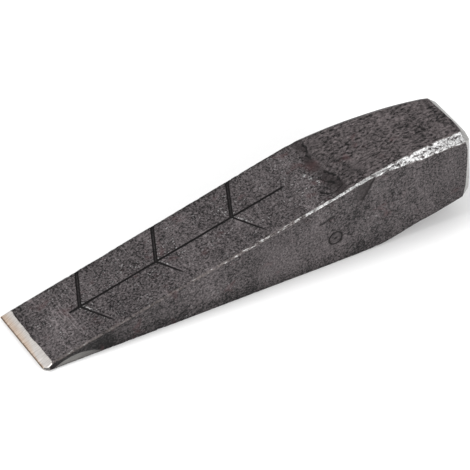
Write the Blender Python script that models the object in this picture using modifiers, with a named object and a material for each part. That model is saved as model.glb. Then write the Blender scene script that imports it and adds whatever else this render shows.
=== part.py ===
"""A drop-forged steel felling wedge, lying on one of its two wide flanks.

The wedge is one solid forging. Its own axes are x from the bit to the poll, y across the width and z
through the thickness, with z = 0 halfway between the two flanks. It is built in those axes under an
empty, which turns it until its lower flank lies flat on the ground and centres it over the origin.
"""

import math

import bmesh
import bpy
from mathutils import Matrix, Vector

# Lengths are in metres.
LENGTH = 0.225

# The bit: a ground edge with a bevel on each face. The grinder has clipped its corner at -y.
EDGE_HALF_THICKNESS = 0.0004
EDGE_HALF_WIDTH = 0.0198
BEVEL_LENGTH = 0.0048
BEVEL_HALF_THICKNESS = 0.0021
BEVEL_HALF_WIDTH = 0.0193
CLIP_LENGTH = 0.0021
CLIP_WIDTH = 0.0024

# The flanks: two flat faces that spread evenly from the bevel to the shoulder.
SHOULDER_X = 0.1564
SHOULDER_HALF_THICKNESS = 0.0208
SHOULDER_HALF_WIDTH = 0.0208

# The head: it leaves the flanks on an arc, narrows towards the poll and leans a little towards -y.
HEAD_ARC_RADIUS = 0.2354
HEAD_STEPS = 14
POLL_HALF_WIDTH = 0.0185
POLL_LEAN = -0.0030

# The four long corners: thin along the flanks, then chamfers that open over the head.
THIN_CORNER_WIDTH = 0.0008
THIN_CORNER_DEPTH = 0.0002
EDGE_CORNER = 0.0001
NEAR_CHAMFER_WIDTH = 0.0045
NEAR_CHAMFER_DEPTH = 0.0031
NEAR_CHAMFER_WIDTH_START_X = 0.150
NEAR_CHAMFER_DEPTH_START_X = 0.172
NEAR_CHAMFER_DEPTH_FULL_X = 0.197
FAR_CHAMFER_WIDTH = 0.0061
FAR_CHAMFER_DEPTH = 0.0051
FAR_CHAMFER_START_X = 0.150

# The poll: a ground bevel all round a flat striking face.
POLL_BEVEL_LENGTH = 0.0035
POLL_BEVEL_INSET = 0.0031
OCTAGON_CORNER_SHRINK = 2 - math.sqrt(2)

# The herringbone grooves: one stem along each flank with pairs of arms that sweep back to the poll.
GROOVE_OFFSET_Y = 0.0009
GROOVE_DEPTH = 0.0007
GROOVE_BAR = 0.0030
STEM_START_X = 0.0253
STEM_END_X = 0.1380
FIRST_ARMS_X = 0.0302
ARMS_SPACING = 0.0398
ARM_PAIRS = 3
ARM_SWEEP = 0.0092
ARM_REACH = 0.0186
SHORT_ARM_PAIR = 1
SHORT_ARM_REACH = 0.0150
ARM_OVERRUN = 0.12

# The facet that a large grinding wheel has left low on the side at -y, next to the bit.
WHEEL_RADIUS = 0.150
WHEEL_SEGMENTS = 256
WHEEL_WIDTH = 0.060
WHEEL_TILT = math.radians(7.7)
FACET_X = 0.0148
FACET_TOP_Z = 0.0006

FLANK_SLOPE = (SHOULDER_HALF_THICKNESS - BEVEL_HALF_THICKNESS) / (SHOULDER_X - BEVEL_LENGTH)
FLANK_ANGLE = math.atan(FLANK_SLOPE)


def between(x, x_start, x_end, start, end):
    """The value at x on a straight line, held level outside its two ends."""
    share = min(max((x - x_start) / (x_end - x_start), 0.0), 1.0)
    return start + (end - start) * share


def eased(x, x_start, x_end):
    """From 0 to 1 between two places, level at both ends."""
    share = min(max((x - x_start) / (x_end - x_start), 0.0), 1.0)
    return share * share * (3 - 2 * share)


def half_thickness(x):
    """Half the distance between the two wide faces."""
    if x <= BEVEL_LENGTH:
        return between(x, 0.0, BEVEL_LENGTH, EDGE_HALF_THICKNESS, BEVEL_HALF_THICKNESS)
    if x <= SHOULDER_X:
        return BEVEL_HALF_THICKNESS + FLANK_SLOPE * (x - BEVEL_LENGTH)
    centre_x = SHOULDER_X + HEAD_ARC_RADIUS * math.sin(FLANK_ANGLE)
    centre_z = SHOULDER_HALF_THICKNESS - HEAD_ARC_RADIUS * math.cos(FLANK_ANGLE)
    return centre_z + math.sqrt(HEAD_ARC_RADIUS**2 - (x - centre_x) ** 2)


def half_width(x):
    if x <= BEVEL_LENGTH:
        return between(x, 0.0, BEVEL_LENGTH, EDGE_HALF_WIDTH, BEVEL_HALF_WIDTH)
    if x <= SHOULDER_X:
        return between(x, BEVEL_LENGTH, SHOULDER_X, BEVEL_HALF_WIDTH, SHOULDER_HALF_WIDTH)
    return between(x, SHOULDER_X, LENGTH, SHOULDER_HALF_WIDTH, POLL_HALF_WIDTH)


def middle_y(x):
    """Where the middle of the width is: the head leans towards the poll."""
    return between(x, SHOULDER_X, LENGTH, 0.0, POLL_LEAN)


def thin_corner(x):
    """The width and depth of a long corner before its chamfer opens."""
    width = between(x, 0.0, BEVEL_LENGTH, EDGE_CORNER, THIN_CORNER_WIDTH)
    depth = between(x, 0.0, BEVEL_LENGTH, EDGE_CORNER, THIN_CORNER_DEPTH)
    return width, depth


def near_corner(x):
    widened = between(x, NEAR_CHAMFER_WIDTH_START_X, LENGTH, 0, 1)
    deepened = eased(x, NEAR_CHAMFER_DEPTH_START_X, NEAR_CHAMFER_DEPTH_FULL_X)
    width, depth = thin_corner(x)
    width += (NEAR_CHAMFER_WIDTH - THIN_CORNER_WIDTH) * widened
    depth += (NEAR_CHAMFER_DEPTH - THIN_CORNER_DEPTH) * deepened
    return width, depth


def far_corner(x):
    opened = between(x, FAR_CHAMFER_START_X, LENGTH, 0, 1)
    width, depth = thin_corner(x)
    width += (FAR_CHAMFER_WIDTH - THIN_CORNER_WIDTH) * opened
    depth += (FAR_CHAMFER_DEPTH - THIN_CORNER_DEPTH) * opened
    return width, depth


def upper_section(x, inset=0.0):
    """The upper half of the cross-section at x, from the side at -y over the wide face to +y."""
    corner_shrink = OCTAGON_CORNER_SHRINK * inset
    near_width, near_depth = (size - corner_shrink for size in near_corner(x))
    far_width, far_depth = (size - corner_shrink for size in far_corner(x))
    top = half_thickness(x) - inset
    near_clip = between(x, 0.0, CLIP_LENGTH, CLIP_WIDTH, 0.0)
    near_y = middle_y(x) - half_width(x) + near_clip + inset
    far_y = middle_y(x) + half_width(x) - inset
    outline = [
        (near_y, 0.0),
        (near_y, top - near_depth),
        (near_y + near_width, top),
        (far_y - far_width, top),
        (far_y, top - far_depth),
        (far_y, 0.0),
    ]
    return [Vector((x, y, z)) for y, z in outline]


def upper_sections():
    """Every upper half section, from the edge of the bit to the striking face."""
    bevel_start_x = LENGTH - POLL_BEVEL_LENGTH
    head_step = (bevel_start_x - SHOULDER_X) / HEAD_STEPS
    places = [0.0, CLIP_LENGTH, BEVEL_LENGTH]
    places += [SHOULDER_X + head_step * step for step in range(HEAD_STEPS + 1)]
    sections = [upper_section(x) for x in places]
    sections.append(upper_section(LENGTH, inset=POLL_BEVEL_INSET))
    return sections


def steel_material():
    material = bpy.data.materials.new("forged_steel")
    material.use_nodes = True
    shader = material.node_tree.nodes["Principled BSDF"]
    shader.inputs["Base Color"].default_value = (0.085, 0.078, 0.080, 1.0)
    shader.inputs["Metallic"].default_value = 0.8
    shader.inputs["Roughness"].default_value = 0.55
    return material


def make_collection(name):
    collection = bpy.data.collections.new(name)
    bpy.context.scene.collection.children.link(collection)
    return collection


def make_object(name, mesh, collection, parent=None):
    thing = bpy.data.objects.new(name, mesh)
    collection.objects.link(thing)
    thing.parent = parent
    return thing


def loft_mesh(name, sections):
    """A skin over the sections, closed at both ends and open along z = 0."""
    shape = bmesh.new()
    rings = [[shape.verts.new(point) for point in section] for section in sections]
    for ring, next_ring in zip(rings, rings[1:]):
        for side in range(len(ring) - 1):
            shape.faces.new([ring[side], ring[side + 1], next_ring[side + 1], next_ring[side]])
    shape.faces.new(reversed(rings[0]))
    shape.faces.new(rings[-1])
    mesh = bpy.data.meshes.new(name)
    shape.to_mesh(mesh)
    shape.free()
    return mesh


def resting_location(sections):
    """Where the empty goes, so that the turned wedge stands on z = 0 with its box over the origin."""
    turn = Matrix.Rotation(-FLANK_ANGLE, 3, "Y")
    points = [turn @ point for section in sections for point in section]
    points += [turn @ Vector((p.x, p.y, -p.z)) for section in sections for p in section]
    lowest = Vector([min(point[axis] for point in points) for axis in range(3)])
    highest = Vector([max(point[axis] for point in points) for axis in range(3)])
    middle = (lowest + highest) / 2
    return Vector((-middle.x, -middle.y, -lowest.z))


def make_forging(sections, collection, parent):
    forging = make_object("wedge_forging", loft_mesh("wedge_forging", sections), collection, parent)
    forging.data.materials.append(steel_material())
    mirror = forging.modifiers.new("other_half", "MIRROR")
    mirror.use_axis = (False, False, True)
    mirror.merge_threshold = 0.0001
    return forging


def groove_strokes():
    """The ends of every groove on one flank, as pairs of (x, y)."""
    strokes = [((STEM_START_X, GROOVE_OFFSET_Y), (STEM_END_X, GROOVE_OFFSET_Y))]
    for pair in range(ARM_PAIRS):
        start = (FIRST_ARMS_X + ARMS_SPACING * pair, GROOVE_OFFSET_Y)
        for side in (-1, 1):
            is_short = side < 0 and pair == SHORT_ARM_PAIR
            reach = SHORT_ARM_REACH if is_short else ARM_REACH * (1 + ARM_OVERRUN)
            sweep = ARM_SWEEP * reach / ARM_REACH
            strokes.append((start, (start[0] + sweep, start[1] + side * reach)))
    return strokes


def make_groove_cutter(name, start, end, face, collection, parent):
    """A square bar along one groove, with one of its corners sunk into the upper or lower flank."""
    first = Vector((*start, face * half_thickness(start[0])))
    last = Vector((*end, face * half_thickness(end[0])))
    along = (last - first).normalized()
    outward = Vector((-math.sin(FLANK_ANGLE), 0.0, face * math.cos(FLANK_ANGLE)))
    across = outward.cross(along).normalized()
    shape = bmesh.new()
    bmesh.ops.create_cube(shape, size=1.0)
    size = Matrix.Diagonal(((last - first).length, GROOVE_BAR, GROOVE_BAR, 1.0))
    bmesh.ops.transform(shape, matrix=size, verts=shape.verts)
    eighth_turn = Matrix.Rotation(math.radians(45), 4, "X")
    bmesh.ops.transform(shape, matrix=eighth_turn, verts=shape.verts)
    mesh = bpy.data.meshes.new(name)
    shape.to_mesh(mesh)
    shape.free()
    cutter = make_object(name, mesh, collection, parent)
    turn = Matrix((along, across, outward)).transposed()
    cutter.rotation_euler = turn.to_euler()
    corner_reach = GROOVE_BAR / math.sqrt(2)
    cutter.location = (first + last) / 2 + outward * (corner_reach - GROOVE_DEPTH)
    return cutter


def make_wheel_cutter(collection, parent):
    """The grinding wheel, leaning so that its rim cuts deepest at the lower edge of the side."""
    shape = bmesh.new()
    bmesh.ops.create_cone(
        shape,
        cap_ends=True,
        segments=WHEEL_SEGMENTS,
        radius1=WHEEL_RADIUS,
        radius2=WHEEL_RADIUS,
        depth=WHEEL_WIDTH,
    )
    mesh = bpy.data.meshes.new("grinding_wheel")
    shape.to_mesh(mesh)
    shape.free()
    wheel = make_object("grinding_wheel", mesh, collection, parent)
    wheel.rotation_euler = (WHEEL_TILT, 0.0, 0.0)
    rim = Vector((0.0, WHEEL_RADIUS, 0.0))
    rim.rotate(wheel.rotation_euler)
    touch = Vector((FACET_X, -half_width(FACET_X), FACET_TOP_Z))
    wheel.location = touch - rim
    return wheel


def hide_cutter(cutter):
    cutter.hide_render = True
    cutter.display_type = "WIRE"


def cut_away(target, cutters):
    cut = target.modifiers.new("cuts", "BOOLEAN")
    cut.operation = "DIFFERENCE"
    cut.solver = "EXACT"
    cut.operand_type = "COLLECTION"
    cut.collection = cutters


def main():
    for thing in list(bpy.data.objects):
        bpy.data.objects.remove(thing, do_unlink=True)
    parts = make_collection("felling_wedge")
    cutters = make_collection("cutters")
    sections = upper_sections()
    wedge_axes = make_object("wedge_axes", None, parts)
    wedge_axes.rotation_euler = (0.0, -FLANK_ANGLE, 0.0)
    wedge_axes.location = resting_location(sections)
    forging = make_forging(sections, parts, wedge_axes)
    for face, face_name in ((1, "upper"), (-1, "lower")):
        for number, (start, end) in enumerate(groove_strokes()):
            name = f"{face_name}_groove_{number}"
            make_groove_cutter(name, start, end, face, cutters, wedge_axes)
    make_wheel_cutter(cutters, wedge_axes)
    for cutter in cutters.objects:
        hide_cutter(cutter)
    cut_away(forging, cutters)
    forging.data.set_sharp_from_angle(angle=math.radians(20))


main()
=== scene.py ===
"""The looks of a drop-forged felling wedge: one detailed forging, a pale floor, soft light and a camera."""

import math

import bmesh
import bpy
import numpy as np
from mathutils import Matrix, Vector, noise


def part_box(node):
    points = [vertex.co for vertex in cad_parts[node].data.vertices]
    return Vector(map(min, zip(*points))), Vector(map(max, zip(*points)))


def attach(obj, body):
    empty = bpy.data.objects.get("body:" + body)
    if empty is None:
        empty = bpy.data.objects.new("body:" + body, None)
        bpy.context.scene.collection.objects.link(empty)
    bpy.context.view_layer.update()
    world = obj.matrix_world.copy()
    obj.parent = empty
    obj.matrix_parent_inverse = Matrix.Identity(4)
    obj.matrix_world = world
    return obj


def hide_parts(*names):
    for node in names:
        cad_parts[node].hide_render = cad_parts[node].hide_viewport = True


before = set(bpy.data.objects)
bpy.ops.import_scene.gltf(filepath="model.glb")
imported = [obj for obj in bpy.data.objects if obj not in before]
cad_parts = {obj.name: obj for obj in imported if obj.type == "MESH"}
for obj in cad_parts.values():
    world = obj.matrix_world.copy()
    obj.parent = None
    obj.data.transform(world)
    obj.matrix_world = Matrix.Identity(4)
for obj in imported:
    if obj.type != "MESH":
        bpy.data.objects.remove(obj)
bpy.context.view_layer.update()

NODE = "wedge_forging"
MM = 0.001

# ---------------------------------------------------------------------------------------------------
# The wedge's shape, in millimetres, in its own axes: x from the bit to the poll, y across the width,
# z through the thickness. They are the CAD model's, apart from the poll's bevel, which is less inset,
# and the herringbone, whose grooves are shallower and whose arms are shorter.
# ---------------------------------------------------------------------------------------------------
LENGTH = 225.0
EDGE_HALF_THICKNESS = 0.4
EDGE_HALF_WIDTH = 19.8
BEVEL_LENGTH = 4.8
BEVEL_HALF_THICKNESS = 2.1
BEVEL_HALF_WIDTH = 19.3
CLIP_LENGTH = 2.1
CLIP_WIDTH = 2.4
SHOULDER_X = 156.4
SHOULDER_HALF_THICKNESS = 20.8
SHOULDER_HALF_WIDTH = 20.8
HEAD_ARC_RADIUS = 235.4
POLL_HALF_WIDTH = 18.5
POLL_LEAN = -3.0
THIN_CORNER_WIDTH = 0.8
THIN_CORNER_DEPTH = 0.2
EDGE_CORNER = 0.1
NEAR_CHAMFER = (4.5, 3.1)
NEAR_CHAMFER_WIDTH_START_X = 150.0
NEAR_CHAMFER_DEPTH_START_X = 172.0
NEAR_CHAMFER_DEPTH_FULL_X = 197.0
FAR_CHAMFER = (6.1, 5.1)
FAR_CHAMFER_START_X = 150.0
POLL_BEVEL_LENGTH = 3.5
POLL_BEVEL_INSET = 2.5
OCTAGON_CORNER_SHRINK = 2 - math.sqrt(2)

BEVEL_SLOPE = (BEVEL_HALF_THICKNESS - EDGE_HALF_THICKNESS) / BEVEL_LENGTH
FLANK_SLOPE = (SHOULDER_HALF_THICKNESS - BEVEL_HALF_THICKNESS) / (SHOULDER_X - BEVEL_LENGTH)
FLANK_ANGLE = math.atan(FLANK_SLOPE)
POLL_BEVEL_X = LENGTH - POLL_BEVEL_LENGTH

# How far the struck face bulges, and where the mesh's origin lies along the wedge's own x axis.
POLL_CROWN = 0.4
AXES_ORIGIN_X = 111.6

# How the poll is out of square, as shifts along x. Each slope is per millimetre across or down.
POLL_TOP_Z = 19.5
POLL_START = 0.8
POLL_START_Y = 12.0
POLL_START_SLOPES = (0.055, 0.080)
POLL_START_CORNER_CUT = 1.4
POLL_END_Y = 20.0
POLL_END_SLOPES = (0.01, 0.035)
POLL_END_CORNER_CUTS = (0.3, 0.5)
POLL_SHIFT_LENGTH = 22.0

# The herringbone: a stem with pairs of arms that sweep back towards the poll.
STEM = (25.3, 138.0)
STEM_Y = 0.9
FIRST_ARMS_X = 30.2
ARMS_SPACING = 39.8
ARM_PAIRS = 3
ARM_SWEEP = 9.2
ARM_REACH = 18.6
SHORT_ARM_PAIR = 1
SHORT_ARM_REACH = 14.6
FAR_ARM_OVERRUN = 1.5
STEM_WIDTH = 1.45
NEAR_ARM_WIDTH = 1.15
FAR_ARM_WIDTH = 1.9
FAR_ARM_STEEPNESS = 2.2
GROOVE_DEPTH = 0.62
NEAR_ARM_DEPTH = 0.8 * GROOVE_DEPTH
LIP_HEIGHT = 0.07

# The facet ground low on the near side by the bit, and the wheel that made it.
WHEEL_RADIUS = 150.0
WHEEL_TILT = math.radians(7.7)
FACET_X = 14.8
FACET_TOP_Z = 0.6
FACET_END_X = 60.0
BIT_END_X = 9.0

# Stamped on the near side: a plain ring with a dot in it, under a faint plain bar.
STAMP_CENTRE = (150.4, -4.4)
STAMP_RADIUS = 3.4
STAMP_DEPTH = 0.36
STAMP_LINE = 0.62
DOT_RADIUS = 1.05
BAR = ((143.0, 7.9), (151.8, 9.8))
BAR_WIDTH = 2.0
BAR_DEPTH = 0.24

# The laps across a wide face where the flank meets the head, as chains of (x, y) places.
SCAR_CHAINS = (
    ((148.2, -1.5), (150.6, -2.2), (152.5, -5.2), (153.8, -9.1), (156.6, -12.2), (159.5, -15.7)),
    ((156.4, -1.8), (157.9, -5.7), (158.6, -10.5), (159.6, -14.8)),
    ((148.2, -12.6), (150.7, -17.0), (155.0, -17.0), (159.5, -15.7)),
    ((158.6, 17.8), (157.4, 13.6), (155.7, 10.2), (156.2, 6.0)),
)
SCAR_WIDTH = 1.3
SCAR_DEPTH = 0.34
# Painted highlights: small bright spots by the laps, at these places and radii.
SCAR_GLINTS = ((148.1, 0.2), (149.4, -2.9), (150.9, -7.0))
GLINT_RADII = (1.5, 1.9)

# The fold where the flank's skin was pushed under the head's: at each y across the face, the x of the
# fold and how far the darker, sunk skin reaches from it towards the bit.
FOLD_Y = (-16.0, -10.5, -5.7, -2.0, 2.0, 8.0, 13.6, 17.8)
FOLD_X = (160.0, 158.6, 157.9, 156.8, 156.2, 156.5, 157.4, 158.6)
FOLD_REACH = (10.0, 9.0, 6.5, 6.5, 7.0, 6.0, 6.5, 7.5)

# Patches of smoother and of rustier scale near the shoulder, as a centre and two radii.
SMOOTH_PATCHES = (((161.5, 13.0), (5.5, 5.0)), ((167.5, -10.5), (8.0, 6.0)))
RUST_PATCH = ((153.9, 3.0), (4.6, 5.6))

# Wear on the near upper corner, a painted highlight on its thin line: how strong it is on the thin line,
# and where it opens and breaks up.
PAINTED_LINE_HIGHLIGHT = 0.62
WEAR_OPENS_X = (60.0, 125.0, 150.0)
WEAR_BREAKS_UP = 0.06
WEAR_BREAKS_UP_X = (165.0, 195.0)

# The scoop on the near side under the shoulder: where its step is at the top, and how it slants.
SCOOP_STEP_X = 173.3
SCOOP_STEP_SLANT = 0.72

# Mesh density: how many runs of quads lie along each stretch of the cross-section, in its order.
RUNS = (44, 6, 60, 6, 28, 6, 36, 6)
CORNER_RADIUS = 0.4
STEP = 0.82
FINE_STEP = 0.4
CAP_RINGS = 13
REFINE_REACH = 0.45
SCAR_REFINE_REACH = 1.2
STAMP_REFINE_REACH = 0.9
SKIN_SINK = 0.09


def level(x, start_x, end_x, start, end):
    """The value at x on a straight line, held level outside its two ends."""
    return np.interp(x, [start_x, end_x], [start, end])


def eased(x, start_x, end_x):
    """From 0 to 1 between two places, level at both ends. The places may run either way."""
    share = np.clip((np.asarray(x, float) - start_x) / (end_x - start_x), 0.0, 1.0)
    return share * share * (3 - 2 * share)


def flank_plane(x):
    return BEVEL_HALF_THICKNESS + FLANK_SLOPE * (x - BEVEL_LENGTH)


def bevel_plane(x):
    return EDGE_HALF_THICKNESS + BEVEL_SLOPE * x


def half_thickness(x):
    centre_x = SHOULDER_X + HEAD_ARC_RADIUS * math.sin(FLANK_ANGLE)
    centre_z = SHOULDER_HALF_THICKNESS - HEAD_ARC_RADIUS * math.cos(FLANK_ANGLE)
    arc = centre_z + np.sqrt(HEAD_ARC_RADIUS**2 - (x - centre_x) ** 2)
    flank = np.minimum(flank_plane(x), bevel_plane(x))
    return np.where(x > SHOULDER_X, arc, flank)


def half_width(x):
    places = [0.0, BEVEL_LENGTH, SHOULDER_X, LENGTH]
    return np.interp(
        x, places, [EDGE_HALF_WIDTH, BEVEL_HALF_WIDTH, SHOULDER_HALF_WIDTH, POLL_HALF_WIDTH]
    )


def middle_y(x):
    return level(x, SHOULDER_X, LENGTH, 0.0, POLL_LEAN)


def near_y(x):
    return middle_y(x) - half_width(x) + level(x, 0.0, CLIP_LENGTH, CLIP_WIDTH, 0.0)


def far_y(x):
    return middle_y(x) + half_width(x)


def corner_sizes(x, chamfer, widened, deepened):
    """The width and depth of a long corner: thin along the flank, a chamfer over the head."""
    width = level(x, 0.0, BEVEL_LENGTH, EDGE_CORNER, THIN_CORNER_WIDTH)
    depth = level(x, 0.0, BEVEL_LENGTH, EDGE_CORNER, THIN_CORNER_DEPTH)
    width = width + (chamfer[0] - THIN_CORNER_WIDTH) * widened
    depth = depth + (chamfer[1] - THIN_CORNER_DEPTH) * deepened
    return width, depth


def near_corner(x):
    widened = level(x, NEAR_CHAMFER_WIDTH_START_X, LENGTH, 0, 1)
    deepened = eased(x, NEAR_CHAMFER_DEPTH_START_X, NEAR_CHAMFER_DEPTH_FULL_X)
    return corner_sizes(x, NEAR_CHAMFER, widened, deepened)


def far_corner(x):
    opened = level(x, FAR_CHAMFER_START_X, LENGTH, 0, 1)
    return corner_sizes(x, FAR_CHAMFER, opened, opened)


def section_corners(x, inset=0.0, nose=0.0):
    """The eight corners of the cross-section at x, round from the lower end of the near side."""
    shrink = OCTAGON_CORNER_SHRINK * inset
    near_width, near_depth = (size - shrink for size in near_corner(x))
    far_width, far_depth = (size - shrink for size in far_corner(x))
    top = half_thickness(x) - inset - nose
    near, far = near_y(x) + inset, far_y(x) - inset
    upper = [
        (near, top - near_depth),
        (near + near_width, top),
        (far - far_width, top),
        (far, top - far_depth),
    ]
    lower = [(y, -z) for y, z in reversed(upper)]
    return [Vector((float(y), float(z))) for y, z in [lower[-1], *upper, *lower[:-1]]]


def rounded_ring(corners):
    """Points round the cross-section, with each corner rounded off and each straight run divided."""
    count = len(corners)
    enters, leaves = [], []
    for index, corner in enumerate(corners):
        before = corners[index - 1] - corner
        after = corners[(index + 1) % count] - corner
        reach = min(CORNER_RADIUS, 0.35 * before.length, 0.35 * after.length)
        enters.append(corner + before.normalized() * reach)
        leaves.append(corner + after.normalized() * reach)
    points = []
    for index, steps in enumerate(RUNS):
        following = (index + 1) % count
        for step in range(steps):
            points.append(leaves[index].lerp(enters[following], step / steps))
        for share in (0.0, 1 / 3, 2 / 3):
            first = enters[following].lerp(corners[following], share)
            second = corners[following].lerp(leaves[following], share)
            points.append(first.lerp(second, share))
    return points


def stations():
    """Places along x for the cross-sections: close together at the bit and round the poll's bevel."""
    nose = [0.0, 0.08, 0.2, 0.35]
    bit = list(np.arange(0.6, BIT_END_X, FINE_STEP))
    body = list(np.arange(BIT_END_X, POLL_BEVEL_X - 3 * FINE_STEP, STEP))
    poll = list(np.arange(POLL_BEVEL_X - 2 * FINE_STEP, LENGTH - 0.3, FINE_STEP))
    return nose + bit + body + poll + [LENGTH - 0.25, LENGTH - 0.1, LENGTH]


def poll_shift(x, y, z):
    """How far the hand-ground bevel moves along x at a point of the cross-section near the poll.

    The poll is a little out of square, and the bevel cuts back further at the corners of the near side.
    """
    across = (y - float(middle_y(x))) / float(half_width(x))
    up = z / float(half_thickness(x))
    cornered = min(abs(across * up) / 0.79, 1.0) ** 4
    near_corner_cut = cornered * (across < 0)
    down = POLL_TOP_Z - z
    start_across, start_down = POLL_START_SLOPES
    start = POLL_START - start_across * (y + POLL_START_Y) - start_down * down
    start -= POLL_START_CORNER_CUT * near_corner_cut
    end_across, end_down = POLL_END_SLOPES
    every_corner, near_corners = POLL_END_CORNER_CUTS
    end = -end_across * (y + POLL_END_Y) - end_down * down
    end = min(end - every_corner * cornered - near_corners * near_corner_cut, 0.0)
    grown = float(eased(x, POLL_BEVEL_X - POLL_SHIFT_LENGTH, POLL_BEVEL_X))
    bevelled = float(level(x, POLL_BEVEL_X, LENGTH, 0, 1))
    return grown * start * (1 - bevelled) + end * bevelled


def ring_at(x):
    nose = 0.25 * max(0.0, 1 - x / 0.35) ** 2
    bevelled = float(level(x, POLL_BEVEL_X, LENGTH, 0.0, 1.0))
    round_off = 0.35 * max(0.0, (x - (LENGTH - 0.35)) / 0.35) ** 2
    corners = section_corners(x, POLL_BEVEL_INSET * bevelled + round_off, nose)
    return [(x + poll_shift(x, point.x, point.y), point.x, point.y) for point in rounded_ring(corners)]


def cap_rings(ring):
    """Smaller and smaller copies of the last ring, which fill the slightly crowned striking face."""
    points = np.array(ring)
    middle = points.mean(axis=0)
    rings = []
    for step in range(1, CAP_RINGS + 1):
        share = 1 - step / (CAP_RINGS + 1)
        place = middle + (points - middle) * share
        place[:, 0] += POLL_CROWN * (1 - share**2)
        rings.append(place)
    return rings


def base_shape():
    """The smooth forging in its own axes, in millimetres, as a bmesh of quads.

    Each point keeps the station along x that its ring was made at.
    """
    shape = bmesh.new()
    station = shape.verts.layers.float.new("station")
    places = stations()
    rings = [ring_at(x) for x in places]
    caps = cap_rings(rings[-1])
    rows = []
    for x, ring in zip(places + [LENGTH + 1] * len(caps), rings + caps):
        row = [shape.verts.new(point) for point in ring]
        for vert in row:
            vert[station] = x
        rows.append(row)
    for row, next_row in zip(rows, rows[1:]):
        for index in range(len(row)):
            following = (index + 1) % len(row)
            shape.faces.new([row[index], row[following], next_row[following], next_row[index]])
    shape.faces.new(reversed(rows[0]))
    shape.faces.new(rows[-1])
    return shape


# ---------------------------------------------------------------------------------------------------
# What the forging's skin carries: grooves, scars, facets, a stamp and the roughness of its scale.
# Heights are in millimetres, outwards. The whole skin lies SKIN_SINK below the CAD surface, so that
# its rough places stay inside the CAD model's box.
# ---------------------------------------------------------------------------------------------------
class Stroke:
    """One straight groove or crack on a face, with a width and a depth that fades at its end.

    Its lip is highest on the poll side and dies away over the share lip_reach of its length.
    """

    def __init__(self, start, end, width, depth, fade=0.02, steepness=1.0, lip_reach=0.15):
        self.start = np.array(start)
        self.run = np.array(end) - self.start
        self.width = width
        self.depth = depth
        self.fade = fade
        self.steepness = steepness
        self.lip_reach = lip_reach

    def measure(self, x, y):
        """Each point's distance from the line and its share of the way along it."""
        out_x, out_y = x - self.start[0], y - self.start[1]
        share = (out_x * self.run[0] + out_y * self.run[1]) / (self.run @ self.run)
        share = np.clip(share, 0.0, 1.0)
        distance = np.hypot(out_x - share * self.run[0], out_y - share * self.run[1])
        return distance, share

    def on_poll_side(self, x, y):
        """Whether each point is on the side of the line that faces the poll."""
        across = (x - self.start[0]) * self.run[1] - (y - self.start[1]) * self.run[0]
        return across * np.sign(self.run[1]) > 0

    def reaches(self, x, y, reach):
        distance, _ = self.measure(x, y)
        return distance < self.width / 2 + reach


def herringbone():
    strokes = [Stroke((STEM[0], STEM_Y), (STEM[1], STEM_Y), STEM_WIDTH, GROOVE_DEPTH)]
    for pair in range(ARM_PAIRS):
        start = (FIRST_ARMS_X + ARMS_SPACING * pair, STEM_Y)
        near_reach = SHORT_ARM_REACH if pair == SHORT_ARM_PAIR else ARM_REACH
        far_reach = ARM_REACH + FAR_ARM_OVERRUN
        near_end = (start[0] + ARM_SWEEP * near_reach / ARM_REACH, STEM_Y - near_reach)
        far_end = (start[0] + ARM_SWEEP * far_reach / ARM_REACH, STEM_Y + far_reach)
        strokes.append(Stroke(start, near_end, NEAR_ARM_WIDTH, NEAR_ARM_DEPTH, fade=0.45, lip_reach=0.7))
        strokes.append(Stroke(start, far_end, FAR_ARM_WIDTH, GROOVE_DEPTH, steepness=FAR_ARM_STEEPNESS))
    return strokes


def scar_cracks():
    """The laps across a wide face at the shoulder, each as a chain of short strokes."""
    strokes = []
    for chain in SCAR_CHAINS:
        for start, end in zip(chain, chain[1:]):
            strokes.append(Stroke(start, end, SCAR_WIDTH, SCAR_DEPTH))
    return strokes


def speckle(points, wavelength, octaves=3, seed=0.0, stretch=(1, 1, 1)):
    """Fractal noise of about -1 to 1 at each point, with the wavelength in millimetres."""
    scaled = points / (wavelength * np.array(stretch)) + seed
    return np.array([noise.fractal(point, 1.0, 2.0, octaves) for point in scaled.tolist()])


def on_wide_face(place, slack=0.4):
    return abs(place.z) > float(half_thickness(place.x)) - slack


def scar_y(place):
    """The lower face's scar is turned the other way round, so that the two faces differ."""
    return place.y if place.z > 0 else -place.y


def touches_groove(place, grooves):
    if not STEM[0] - 2 < place.x < STEM[1] + 2 or not on_wide_face(place):
        return False
    return any(stroke.reaches(place.x, place.y, REFINE_REACH) for stroke in grooves)


def touches_scar(place, cracks):
    if not SHOULDER_X - 12 < place.x < SHOULDER_X + 6 or not on_wide_face(place):
        return False
    return any(stroke.reaches(place.x, scar_y(place), SCAR_REFINE_REACH) for stroke in cracks)


def touches_stamp(place):
    if place.y > float(near_y(place.x)) + 0.4:
        return False
    out = math.hypot(place.x - STAMP_CENTRE[0], place.z - STAMP_CENTRE[1])
    return out < STAMP_RADIUS + STAMP_REFINE_REACH


def refine(shape, wanted):
    """Divides the quads wherever wanted(place) is true."""
    faces = [face for face in shape.faces if wanted(face.calc_center_median())]
    edges = list({edge for face in faces for edge in face.edges})
    bmesh.ops.subdivide_edges(shape, edges=edges, cuts=1, use_grid_fill=True)


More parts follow.
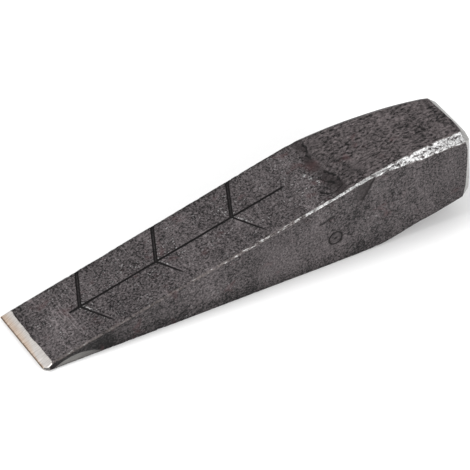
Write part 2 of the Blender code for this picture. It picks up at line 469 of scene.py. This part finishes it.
def cut_strokes(x, y, strokes, lip_height):
    """Grooves with a slight lip of pushed-up steel along each side: height, lip and painted shade.

    A steepness of 1 gives a rounded V. A steeper groove has a flat floor, which gets less painted shade.
    """
    height, lip, dark = np.zeros_like(x), np.zeros_like(x), np.zeros_like(x)
    for stroke in strokes:
        distance, share = stroke.measure(x, y)
        ending = eased(share, 1.0, 1.0 - stroke.fade) ** 0.7
        half = stroke.width / 2
        wall = (1 - (distance / half) ** 1.6) * stroke.steepness
        cut = np.clip(wall, 0.0, 1.0) * ending
        height = np.minimum(height, -stroke.depth * cut)
        # Painted shade in the groove: darkest where the V is narrow, lighter on a flat floor.
        dark = np.maximum(dark, cut - 0.6 * eased(wall, 1.1, 1.9))
        edge = np.exp(-(((distance - half - 0.3) / 0.34) ** 2)) * ending
        sharpest = 0.2 + 0.8 * stroke.on_poll_side(x, y)
        sharpest = sharpest * eased(share, stroke.lip_reach, 0.3 * stroke.lip_reach)
        lip = np.maximum(lip, lip_height * edge * np.maximum(sharpest, 0.2))
    return height, np.where(height < 0, 0.0, lip), dark


def scar_height(place, cracks):
    """How deep the laps are: broken up by noise in both their line and their depth."""
    x, _, z = place.T
    y = np.where(z > 0, place[:, 1], -place[:, 1])
    bent_x = x + 1.3 * speckle(place, 2.6, 3, 12.1)
    bent_y = y + 1.3 * speckle(place, 2.6, 3, 15.7)
    crack, _, _ = cut_strokes(bent_x, bent_y, cracks, 0.0)
    return crack * np.clip(0.72 + 0.9 * speckle(place, 3.0, 2, 6.1), 0.1, 1.2)


def hollow(place, centre, radii):
    """1 in the middle of a soft oval hollow on a wide face, falling to 0 at its rim."""
    y = np.where(place[:, 2] > 0, place[:, 1], -place[:, 1])
    out = np.hypot((place[:, 0] - centre[0]) / radii[0], (y - centre[1]) / radii[1])
    return eased(out, 1.0, 0.15)


def scale_height(place, coarse, calm):
    """The roughness of the forge scale: fine on the flanks and sides, and coarse on the head."""
    swell = 0.06 * speckle(place, 24.0, 2, 3.1)
    fine = 0.035 * speckle(place, 2.0, 3, 7.7) + 0.03 * speckle(place, 8.0, 2, 1.3, (1.0, 4.0, 1.0))
    dents = 0.10 * speckle(place, 7.0, 2, 5.5, (1.8, 1.0, 1.0)) - 0.05
    dents = dents + 0.06 * speckle(place, 2.6, 2, 9.9, (1.6, 1.0, 1.0))
    return swell + (1 - calm) * ((1 - coarse) * fine + coarse * dents)


def corner_nicks(place, thickness):
    """Small chips along the long corners of the near side and the far side."""
    x, y, z = place.T
    top_gap = thickness - np.abs(z)
    side_gap = np.minimum(y - near_y(x), far_y(x) - y)
    close = eased(np.hypot(top_gap, side_gap), 1.4, 0.4)
    return 0.35 * close * np.clip(speckle(place, 2.4, 2, 2.2) - 0.12, 0, 1)


def stamp_height(x, z):
    """A plain ring with a dot in it, and a faint bar above them."""
    out = np.hypot(x - STAMP_CENTRE[0], z - STAMP_CENTRE[1])
    ring = np.clip(1 - (np.abs(out - STAMP_RADIUS) / STAMP_LINE) ** 2, 0, 1)
    dot = np.clip(1 - (out / DOT_RADIUS) ** 2, 0, 1)
    lip = 0.06 * np.exp(-(((np.abs(out - STAMP_RADIUS) - 0.75) / 0.2) ** 2))
    bar_stroke = Stroke(*BAR, BAR_WIDTH, BAR_DEPTH, fade=0.15, steepness=2.2)
    bar, _, _ = cut_strokes(x, z, [bar_stroke], 0.0)
    return -STAMP_DEPTH * np.maximum(ring, dot) + lip + bar


def chamfer_wear_and_painted_highlight(place, thickness):
    """A painted highlight on the near upper corner: a thin line that opens into the chamfer, where the
    scale is rubbed off.
    """
    x, y, z = place.T
    width, depth = near_corner(x)
    over = (y - near_y(x)) / np.maximum(width, 1.0)
    under = (thickness - z) / np.maximum(depth, 0.7)
    on_chamfer = eased(over + under, 1.5, 0.97)
    start_x, middle_x, end_x = WEAR_OPENS_X
    opened = 0.5 * eased(x, start_x, middle_x) + 0.5 * eased(x, middle_x, end_x)
    broken_up = WEAR_BREAKS_UP * eased(x, *WEAR_BREAKS_UP_X)
    return on_chamfer * (PAINTED_LINE_HIGHLIGHT + (1 - PAINTED_LINE_HIGHLIGHT) * opened - broken_up) * (z > 0)


def corner_wear(place, thickness):
    """Light wear on every other long corner."""
    x, y, z = place.T
    gaps = np.hypot(thickness - np.abs(z), np.minimum(y - near_y(x), far_y(x) - y))
    return 0.40 * eased(gaps, 0.9, 0.3)


def shade(place, thickness, wide, near):
    """Painted shade low down on the near side, towards the floor; also darker along the far edge of the
    flanks and on the near side towards the bit.
    """
    x, y, z = place.T
    far_edge = 0.5 * eased(far_y(x) - y, 3.0, 0.4) * wide
    low = 0.55 * eased(thickness + z, 11.0, 0.0) * near
    by_bit = 0.35 * eased(x, 75.0, 25.0) * near
    return np.clip(far_edge + low + by_bit, 0, 1)


def sunk_skin(place):
    """The dark skin that sinks under the fold, broken up by noise. The lower face's is turned round."""
    x, y, z = place.T
    folded_y = np.where(z > 0, y, -y)
    fold_x = np.interp(folded_y, FOLD_Y, FOLD_X) + 0.7 * speckle(place, 4.0, 3, 21.0)
    reach = np.interp(folded_y, FOLD_Y, FOLD_REACH)
    broken = np.clip(0.85 + 0.7 * speckle(place, 3.2, 3, 27.0), 0.25, 1.0)
    fades_in = eased(x, fold_x - reach, fold_x - 0.45 * reach)
    return fades_in * eased(x, fold_x + 0.5, fold_x - 0.3) * broken


def hollows(place, spots):
    """Several soft ovals in one mask, each given as a centre and two radii."""
    mask = np.zeros(len(place))
    for centre, radii in spots:
        mask = np.maximum(mask, hollow(place, centre, radii))
    return mask


def skin(place, station, grooves, cracks):
    """How high the skin stands and what kind of surface it is, for every point of the forging."""
    x, y, z = place.T
    thickness = half_thickness(x)
    wide = eased(thickness - np.abs(z), 0.5, 0.1)
    near = eased(y - near_y(x), 0.5, 0.1) * (1 - wide)
    top_gap = thickness - z
    coarse = np.clip(wide * eased(x, 152.0, 163.0) + (1 - wide) * 0.16, 0.0, 1.0)

    # The scoop on the near side under the shoulder ends in a slanting step.
    step_x = SCOOP_STEP_X - SCOOP_STEP_SLANT * top_gap
    scoop = eased(x, 154.0, 172.0) * (x < step_x) * eased(top_gap, 13.5, 8.5) * near
    by_facet = near * eased(x, 60.0, 28.0)
    from_stamp = np.hypot(x - STAMP_CENTRE[0], z - STAMP_CENTRE[1])
    by_stamp = near * eased(from_stamp, STAMP_RADIUS + 1.5, STAMP_RADIUS)
    calm = np.clip(0.8 * scoop + 0.85 * by_facet + 0.8 * by_stamp, 0, 1)

    groove, lip, dark = cut_strokes(x, y, grooves, LIP_HEIGHT)
    crack = scar_height(place, cracks) * wide
    sunk = sunk_skin(place) * wide
    glint = hollows(place, [(spot, GLINT_RADII) for spot in SCAR_GLINTS])
    smooth_scale = 0.8 * hollows(place, SMOOTH_PATCHES) * wide

    height = scale_height(place, coarse, np.maximum(calm, smooth_scale))
    height = height + (groove + lip) * wide + crack - 0.25 * sunk - 0.40 * scoop
    height = height - corner_nicks(place, thickness)
    height = height + stamp_height(x, z) * near

    # Bare ground steel: the bevels of the bit, the wheel's facet, and all round the poll.
    at_bit = wide * (x < BIT_END_X)
    below_flank = bevel_plane(x) - flank_plane(x)
    bevel_height = below_flank + 0.09 * speckle(place, 7.0, 2, 4.2) * eased(x, 2.0, 4.0)
    bevel = at_bit * np.clip(0.5 + (height - bevel_height) / 0.05, 0, 1)
    flush = np.minimum(height, bevel_height) - np.minimum(below_flank, 0.0)
    height = np.where(at_bit > 0, height * (1 - at_bit) + flush * at_bit, height)

    # Painted shadow: a dark line along the scoop's step, and a darker stretch of the scoop before it.
    painted_step_shadow = np.exp(-(((x - step_x) / 0.65) ** 2))
    painted_step_shadow = painted_step_shadow * eased(top_gap, 13.5, 10.5) * eased(top_gap, 0.3, 1.5)
    scoop_shadow = near * eased(x, 161.0, 166.5) * (x < step_x) * eased(top_gap, 12.0, 9.5)
    wheel = (x - FACET_X) ** 2 / (2 * WHEEL_RADIUS) - (FACET_TOP_Z - z) * math.tan(WHEEL_TILT)
    facet = near * np.clip(0.5 + (height - wheel) / 0.08, 0, 1) * (x < FACET_END_X)
    facet = np.maximum(facet, near * (x < CLIP_LENGTH + 0.6))
    ground = np.minimum(height, np.maximum(wheel, -1.4) * near)
    height = np.where((near > 0.01) & (x < FACET_END_X), ground, height)

    wander = 0.25 * speckle(place, 4.0, 2, 8.8)
    poll = eased(station, POLL_BEVEL_X - 0.3 + wander, POLL_BEVEL_X + 0.1 + wander)
    poll = poll * (station < LENGTH + 0.5)
    height = np.where(poll > 0, height * (1 - poll), height)

    pressed = np.clip(-stamp_height(x, z) / STAMP_DEPTH, 0, 1)
    masks = {
        "bit_steel": np.maximum(bevel, eased(x, 0.5, 0.25)),
        "poll_steel": poll,
        "facet": facet,
        "rub_and_painted_highlight": np.maximum(chamfer_wear_and_painted_highlight(place, thickness), corner_wear(place, thickness)),
        "coarse": coarse,
        "smooth": np.maximum(calm, smooth_scale),
        # The groove mask is painted shade in the grooves.
        "groove": np.clip(dark, 0, 1) * wide,
        # The lip mask is painted highlight: bright steel along each groove's lip, mostly on the poll side,
        # and on the spots by the laps.
        "lip": np.maximum(np.clip(lip / LIP_HEIGHT, 0, 1), glint) * wide,
        "crack": np.clip(-crack / SCAR_DEPTH, 0, 1),
        # The sunk mask also carries the scoop's painted shadow.
        "sunk": np.maximum(sunk, 0.85 * scoop_shadow),
        "rust": hollow(place, *RUST_PATCH) * wide * (z > 0),
        "shade": shade(place, thickness, wide, near),
        # The stamped ring's mask also carries the painted shadow along the scoop's step.
        "stamp_and_painted_step_shadow": np.maximum(pressed, 0.75 * painted_step_shadow) * near,
    }
    return np.minimum(height, SKIN_SINK * 0.9) - SKIN_SINK, masks


def place_in_frame(place):
    """From the wedge's own axes, in millimetres, to metres with its lower flank level."""
    turn = np.array(Matrix.Rotation(-FLANK_ANGLE, 3, "Y"))
    return place @ turn.T * MM


def frame_shift(smooth):
    """The move that brings the forging's bit, near side and lower flank to the CAD node's box."""
    low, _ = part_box(NODE)
    return np.array(low) - smooth.min(axis=0)


def build_forging():
    grooves, cracks = herringbone(), scar_cracks()
    shape = base_shape()

    # The upper face's grooves are divided twice and the lower face's once, to limit the triangles.
    refine(shape, lambda place: touches_groove(place, grooves) or touches_stamp(place))
    refine(shape, lambda place: place.z > 0 and touches_groove(place, grooves) or touches_stamp(place))
    refine(shape, lambda place: touches_scar(place, cracks))
    if shape.calc_volume(signed=True) < 0:
        bmesh.ops.reverse_faces(shape, faces=shape.faces)
    shape.normal_update()
    layer = shape.verts.layers.float["station"]
    normals = np.array([vert.normal[:] for vert in shape.verts])
    place = np.array([vert.co[:] for vert in shape.verts])
    station = np.array([vert[layer] for vert in shape.verts])
    height, masks = skin(place, station, grooves, cracks)
    shift = frame_shift(place_in_frame(place))
    skin_place = place_in_frame(place + normals * height[:, None]) + shift
    mesh = bpy.data.meshes.new("forging_skin")
    shape.verts.layers.float.remove(layer)
    shape.to_mesh(mesh)
    shape.free()
    mesh.vertices.foreach_set("co", skin_place.astype(np.float32).ravel())
    for name, values in masks.items():
        attribute = mesh.attributes.new(name, "FLOAT", "POINT")
        attribute.data.foreach_set("value", values.astype(np.float32))
    mesh.shade_smooth()
    mesh.update()
    piece = bpy.data.objects.new("forging_skin", mesh)
    bpy.context.scene.collection.objects.link(piece)
    return piece


# ---------------------------------------------------------------------------------------------------
# Material
# ---------------------------------------------------------------------------------------------------
class Nodes:
    """A short way to write shader nodes: sockets and plain values are both given as inputs."""

    def __init__(self, material):
        material.use_nodes = True
        self.tree = material.node_tree
        self.shader = self.tree.nodes["Principled BSDF"]

    def fill(self, socket, value):
        if isinstance(value, bpy.types.NodeSocket):
            self.tree.links.new(value, socket)
        else:
            socket.default_value = value

    def add(self, kind, inputs=None, **settings):
        node = self.tree.nodes.new(kind)
        for name, value in settings.items():
            setattr(node, name, value)
        for name, value in (inputs or {}).items():
            self.fill(node.inputs[name], value)
        return node

    def mask(self, name):
        return self.add("ShaderNodeAttribute", attribute_name=name).outputs["Fac"]

    def maths(self, operation, first, second=0.0):
        return self.add("ShaderNodeMath", {0: first, 1: second}, operation=operation).outputs[0]

    def times(self, first, second):
        return self.maths("MULTIPLY", first, second)

    def plus(self, first, second):
        return self.maths("ADD", first, second)

    def largest(self, first, *others):
        for other in others:
            first = self.maths("MAXIMUM", first, other)
        return first

    def ramp(self, value, low, high, out_low=0.0, out_high=1.0):
        inputs = {
            "Value": value,
            "From Min": low,
            "From Max": high,
            "To Min": out_low,
            "To Max": out_high,
        }
        return self.add("ShaderNodeMapRange", inputs, interpolation_type="SMOOTHSTEP").outputs[0]

    def straight(self, value, low, high):
        inputs = {"Value": value, "From Min": low, "From Max": high}
        return self.add("ShaderNodeMapRange", inputs).outputs[0]

    def noise(self, vector, scale, detail=3.0, roughness=0.55, distortion=0.0):
        inputs = {
            "Vector": vector,
            "Scale": scale,
            "Detail": detail,
            "Roughness": roughness,
            "Distortion": distortion,
        }
        return self.add("ShaderNodeTexNoise", inputs).outputs["Fac"]

    def mix(self, share, first, second):
        node = self.add("ShaderNodeMix", data_type="RGBA")
        self.fill(node.inputs[0], share)
        self.fill(node.inputs[6], first)
        self.fill(node.inputs[7], second)
        return node.outputs[2]

    def mix_value(self, share, first, second):
        node = self.add("ShaderNodeMix", data_type="FLOAT")
        self.fill(node.inputs[0], share)
        self.fill(node.inputs[2], first)
        self.fill(node.inputs[3], second)
        return node.outputs[0]

    def wedge_axes(self):
        """Coordinates in millimetres along the wedge's own axes, with x 0 at AXES_ORIGIN_X."""
        place = self.add("ShaderNodeTexCoord").outputs["Object"]
        inputs = {
            "Vector": place,
            "Rotation": (0.0, FLANK_ANGLE, 0.0),
            "Scale": (1 / MM, 1 / MM, 1 / MM),
        }
        return self.add("ShaderNodeMapping", inputs).outputs[0]

    def stretched(self, vector, scale):
        return self.add("ShaderNodeMapping", {"Vector": vector, "Scale": scale}).outputs[0]


def tint(value, red=1.0, green=1.0, blue=1.0):
    return (value * red, value * green, value * blue, 1.0)


SCALE_DARK = tint(0.003, 1.1, 0.95, 1.0)
SCALE_LIGHT = tint(0.160, 1.09, 0.95, 0.975)
HEAD_SCALE_LIGHT = tint(0.150, 1.11, 0.945, 0.96)
STEEL_DARK = tint(0.32, 1.0, 0.95, 0.91)
STEEL_LIGHT = tint(0.56, 1.0, 0.95, 0.91)
STRAW_DARK = tint(0.37, 1.0, 0.72, 0.52)
STRAW_LIGHT = tint(0.56, 1.0, 0.84, 0.70)


def scale_colour(nodes, axes, grain, mottle):
    """Forge scale: dark oxide, with brown and purple patches and small bright specks."""
    coarse = nodes.mask("coarse")
    smooth = nodes.mask("smooth")
    tone = nodes.mix_value(nodes.times(coarse, 0.85), grain, mottle)
    tone = nodes.mix_value(nodes.times(smooth, 0.6), tone, 0.47)
    patches = nodes.noise(axes, 0.06, 3.0, 0.55)
    bands = nodes.noise(nodes.stretched(axes, (1.0, 0.12, 0.2)), 0.10, 2.0, 0.5)
    smears = nodes.noise(nodes.stretched(axes, (1.0, 0.2, 0.2)), 0.07, 3.0, 0.5, 0.3)
    smears = nodes.maths("ABSOLUTE", nodes.maths("SUBTRACT", smears, 0.5))
    smears = nodes.times(nodes.ramp(smears, 0.0, 0.010, 0.12, 0.0), nodes.ramp(patches, 0.42, 0.58))
    tone = nodes.plus(tone, nodes.times(smears, nodes.ramp(coarse, 0.0, 0.14, 1.0, 0.0)))
    tone = nodes.plus(tone, nodes.ramp(patches, 0.3, 0.7, -0.024, 0.018))
    tone = nodes.plus(tone, nodes.ramp(bands, 0.3, 0.7, -0.024, 0.018))
    # Painted shade: darker low on the near side, and also along the far edge and by the bit.
    tone = nodes.maths("SUBTRACT", tone, nodes.times(nodes.mask("shade"), 0.10))
    light = nodes.mix(coarse, SCALE_LIGHT, HEAD_SCALE_LIGHT)
    flank_tone = nodes.straight(tone, 0.405, 0.70)
    head_tone = nodes.straight(tone, 0.405, 0.67)
    colour = nodes.mix(nodes.mix_value(coarse, flank_tone, head_tone), SCALE_DARK, light)
    brown = nodes.ramp(nodes.noise(axes, 0.10, 3.0, 0.6, 0.4), 0.60, 0.74, 0.0, 0.45)
    brown = nodes.largest(brown, nodes.times(nodes.mask("rust"), nodes.ramp(mottle, 0.3, 0.6, 0.35, 0.95)))
    colour = nodes.mix(brown, colour, tint(0.034, 1.9, 0.90, 0.95))
    specks = nodes.ramp(nodes.noise(axes, 1.25, 2.0, 0.6), 0.62, 0.71, 0.0, 0.8)
    clusters = nodes.ramp(nodes.noise(axes, 0.11, 2.0, 0.5), 0.44, 0.60, 0.25, 1.0)
    on_flank = nodes.ramp(nodes.largest(smooth, coarse), 0.0, 0.3, 1.0, 0.1)
    specks = nodes.times(specks, nodes.times(clusters, on_flank))
    colour = nodes.mix(specks, colour, tint(0.34))
    # Painted shade in the grooves and along the scoop's step, and darker laps and stamped ring.
    painted_shade_and_dark_marks = nodes.largest(
        nodes.ramp(nodes.mask("groove"), 0.02, 0.55),
        nodes.ramp(nodes.mask("crack"), 0.06, 0.7, 0.0, 0.92),
        nodes.ramp(nodes.mask("stamp_and_painted_step_shadow"), 0.1, 0.8, 0.0, 0.85),
    )
    # Darker skin under the fold, with the painted shadow of the scoop.
    colour = nodes.mix(nodes.times(nodes.mask("sunk"), 0.72), colour, tint(0.011, 1.28, 0.94, 0.95))
    return nodes.mix(painted_shade_and_dark_marks, colour, tint(0.002, 1.2, 1.0, 1.0))


def bit_colour(nodes, axes, marks):
    """Bare steel, almost white, with a straw tint that a hot grinding wheel left towards the edge."""
    split = nodes.add("ShaderNodeSeparateXYZ", {"Vector": axes})
    from_edge = nodes.plus(split.outputs["X"], AXES_ORIGIN_X)
    wave = nodes.noise(nodes.stretched(axes, (0.0, 1.0, 0.0)), 0.12, 2.0, 0.5)
    reach = nodes.ramp(nodes.plus(split.outputs["Y"], nodes.times(wave, 14.0)), -8.0, 14.0, 1.1, 3.8)
    towards_edge = nodes.ramp(nodes.maths("DIVIDE", from_edge, reach), 0.25, 1.15, 1.0, 0.0)
    steel = nodes.mix(nodes.ramp(marks, 0.32, 0.66), STEEL_DARK, STEEL_LIGHT)
    straw = nodes.mix(nodes.ramp(marks, 0.35, 0.7), STRAW_DARK, STRAW_LIGHT)
    colour = nodes.mix(nodes.times(towards_edge, 0.85), steel, straw)
    # Darker along the very edge of the bit.
    edge_darkening = nodes.ramp(nodes.plus(from_edge, marks), 1.2, 0.75, 0.0, 0.85)
    return nodes.mix(edge_darkening, colour, tint(0.09, 1.3, 0.85, 0.55))


def steel_material():
    material = bpy.data.materials.new("forged_steel")
    nodes = Nodes(material)
    axes = nodes.wedge_axes()
    grain = nodes.noise(axes, 1.0, 5.0, 0.78)
    mottle = nodes.noise(nodes.stretched(axes, (0.6, 1.0, 1.0)), 0.85, 5.0, 0.72, 0.4)
    marks = nodes.noise(nodes.stretched(axes, (0.10, 2.0, 0.10)), 1.2, 4.0, 0.65)
    scale = scale_colour(nodes, axes, grain, mottle)

    # The wheel's facet is smooth and grey, and lighter towards the bit. The poll's bevel is brighter.
    facet = nodes.mask("facet")
    fine_marks = nodes.noise(nodes.stretched(axes, (0.15, 1.0, 2.4)), 1.1, 3.0, 0.6)
    along = nodes.add("ShaderNodeSeparateXYZ", {"Vector": axes}).outputs["X"]
    from_bit = nodes.plus(along, nodes.times(mottle, 16.0))
    light_end = nodes.ramp(from_bit, 24.0 - AXES_ORIGIN_X, 38.0 - AXES_ORIGIN_X, 1.0, 0.45)
    facet_tone = nodes.times(nodes.ramp(fine_marks, 0.3, 0.7, 0.6, 1.0), light_end)
    facet_colour = nodes.mix(facet_tone, tint(0.02), tint(0.18, 1.03, 1.0, 0.96))
    poll_colour = nodes.mix(nodes.ramp(fine_marks, 0.3, 0.7), tint(0.26), tint(0.50, 1.0, 0.98, 0.95))

    # Rubbed corners: bright steel that shows through wherever the noise lets it, with dark pits. Along the
    # thin near corner of the flanks this is a painted highlight.
    pits = nodes.noise(nodes.stretched(axes, (0.5, 1.0, 1.0)), 0.85, 5.0, 0.72)
    worn_and_painted_highlight = nodes.ramp(nodes.plus(nodes.times(nodes.mask("rub_and_painted_highlight"), 0.63), pits), 1.0, 1.11)
    # Painted highlights along each groove's lip and on the spots by the laps.
    painted_lip_highlights = nodes.times(nodes.ramp(nodes.mask("lip"), 0.25, 0.75), nodes.ramp(pits, 0.44, 0.58, 0.0, 0.75))
    worn_and_painted_highlight = nodes.largest(worn_and_painted_highlight, painted_lip_highlights)
    worn_and_highlight_colour = nodes.mix(nodes.ramp(grain, 0.34, 0.60), tint(0.14), tint(0.64))

    bit = nodes.ramp(nodes.mask("bit_steel"), 0.35, 0.65)
    poll = nodes.ramp(nodes.mask("poll_steel"), 0.35, 0.65)
    half_rubbed = nodes.ramp(nodes.mask("rub_and_painted_highlight"), 0.45, 0.72, 0.0, 0.55)
    dulled = nodes.times(half_rubbed, nodes.ramp(pits, 0.38, 0.56))
    colour = nodes.mix(dulled, scale, tint(0.15, 1.12, 0.95, 0.88))
    colour = nodes.mix(facet, colour, facet_colour)
    colour = nodes.mix(worn_and_painted_highlight, colour, worn_and_highlight_colour)
    colour = nodes.mix(poll, colour, poll_colour)
    colour = nodes.mix(bit, colour, bit_colour(nodes, axes, marks))

    bare = nodes.largest(bit, worn_and_painted_highlight, poll)
    metallic = nodes.largest(nodes.times(bare, 0.85), nodes.times(facet, 0.3))
    roughness = nodes.mix_value(bare, nodes.ramp(mottle, 0.3, 0.7, 0.70, 0.42), 0.42)
    hammered = nodes.noise(nodes.stretched(axes, (0.5, 1.0, 1.0)), 0.42, 4.0, 0.6, 0.6)
    relief = nodes.plus(nodes.times(grain, 0.20), nodes.times(mottle, 0.20))
    relief = nodes.plus(relief, nodes.times(hammered, nodes.times(nodes.mask("coarse"), 0.75)))
    relief = nodes.mix_value(nodes.mask("smooth"), relief, nodes.times(grain, 0.05))
    relief = nodes.mix_value(nodes.largest(bit, poll, facet), relief, nodes.times(marks, 0.012))
    bump = nodes.add("ShaderNodeBump", {"Height": relief, "Strength": 1.0, "Distance": MM})

    nodes.fill(nodes.shader.inputs["Base Color"], colour)
    nodes.fill(nodes.shader.inputs["Metallic"], metallic)
    nodes.fill(nodes.shader.inputs["Roughness"], roughness)
    nodes.fill(nodes.shader.inputs["Normal"], bump.outputs[0])
    nodes.shader.inputs["Specular IOR Level"].default_value = 0.16
    return material


# ---------------------------------------------------------------------------------------------------
# Studio
# ---------------------------------------------------------------------------------------------------
CAMERA_PLACE = (-0.7830, -1.1465, 1.2595)
CAMERA_TURN = (48.124, -2.674, -31.809)
CAMERA_LENS = 318.3


def make_camera():
    data = bpy.data.cameras.new("camera")
    data.lens = CAMERA_LENS
    data.sensor_width = 36.0
    data.clip_start, data.clip_end = 0.05, 20.0
    camera = bpy.data.objects.new("camera", data)
    camera.location = CAMERA_PLACE
    camera.rotation_euler = [math.radians(angle) for angle in CAMERA_TURN]
    bpy.context.scene.collection.objects.link(camera)
    bpy.context.scene.camera = camera


def make_light(name, place, size, power, aim=(0.0, 0.0, 0.02)):
    data = bpy.data.lights.new(name, "AREA")
    data.shape = "DISK"
    data.size = size
    data.energy = power
    light = bpy.data.objects.new(name, data)
    light.location = place
    light.rotation_euler = (Vector(aim) - Vector(place)).to_track_quat("-Z", "Y").to_euler()
    bpy.context.scene.collection.objects.link(light)


def make_floor():
    mesh = bpy.data.meshes.new("floor")
    shape = bmesh.new()
    bmesh.ops.create_grid(shape, x_segments=1, y_segments=1, size=4.0)
    shape.to_mesh(mesh)
    shape.free()
    floor = bpy.data.objects.new("floor", mesh)
    material = bpy.data.materials.new("pale_floor")
    nodes = Nodes(material)
    nodes.fill(nodes.shader.inputs["Base Color"], (0.9, 0.9, 0.9, 1.0))
    nodes.fill(nodes.shader.inputs["Roughness"], 0.9)
    mesh.materials.append(material)
    bpy.context.scene.collection.objects.link(floor)


def make_world():
    world = bpy.data.worlds.new("studio")
    world.use_nodes = True
    world.node_tree.nodes["Background"].inputs["Color"].default_value = (1.0, 1.0, 1.0, 1.0)
    world.node_tree.nodes["Background"].inputs["Strength"].default_value = 0.66
    bpy.context.scene.world = world


make_camera()
make_world()
make_floor()
make_light("key", (-0.9, 0.2, 1.5), 0.7, 20.0)
make_light("fill", (0.6, -1.4, 0.7), 0.8, 18.0)
bpy.context.scene.view_settings.view_transform = "Standard"

forging = build_forging()
forging.data.materials.append(steel_material())
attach(forging, "root")
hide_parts(NODE)
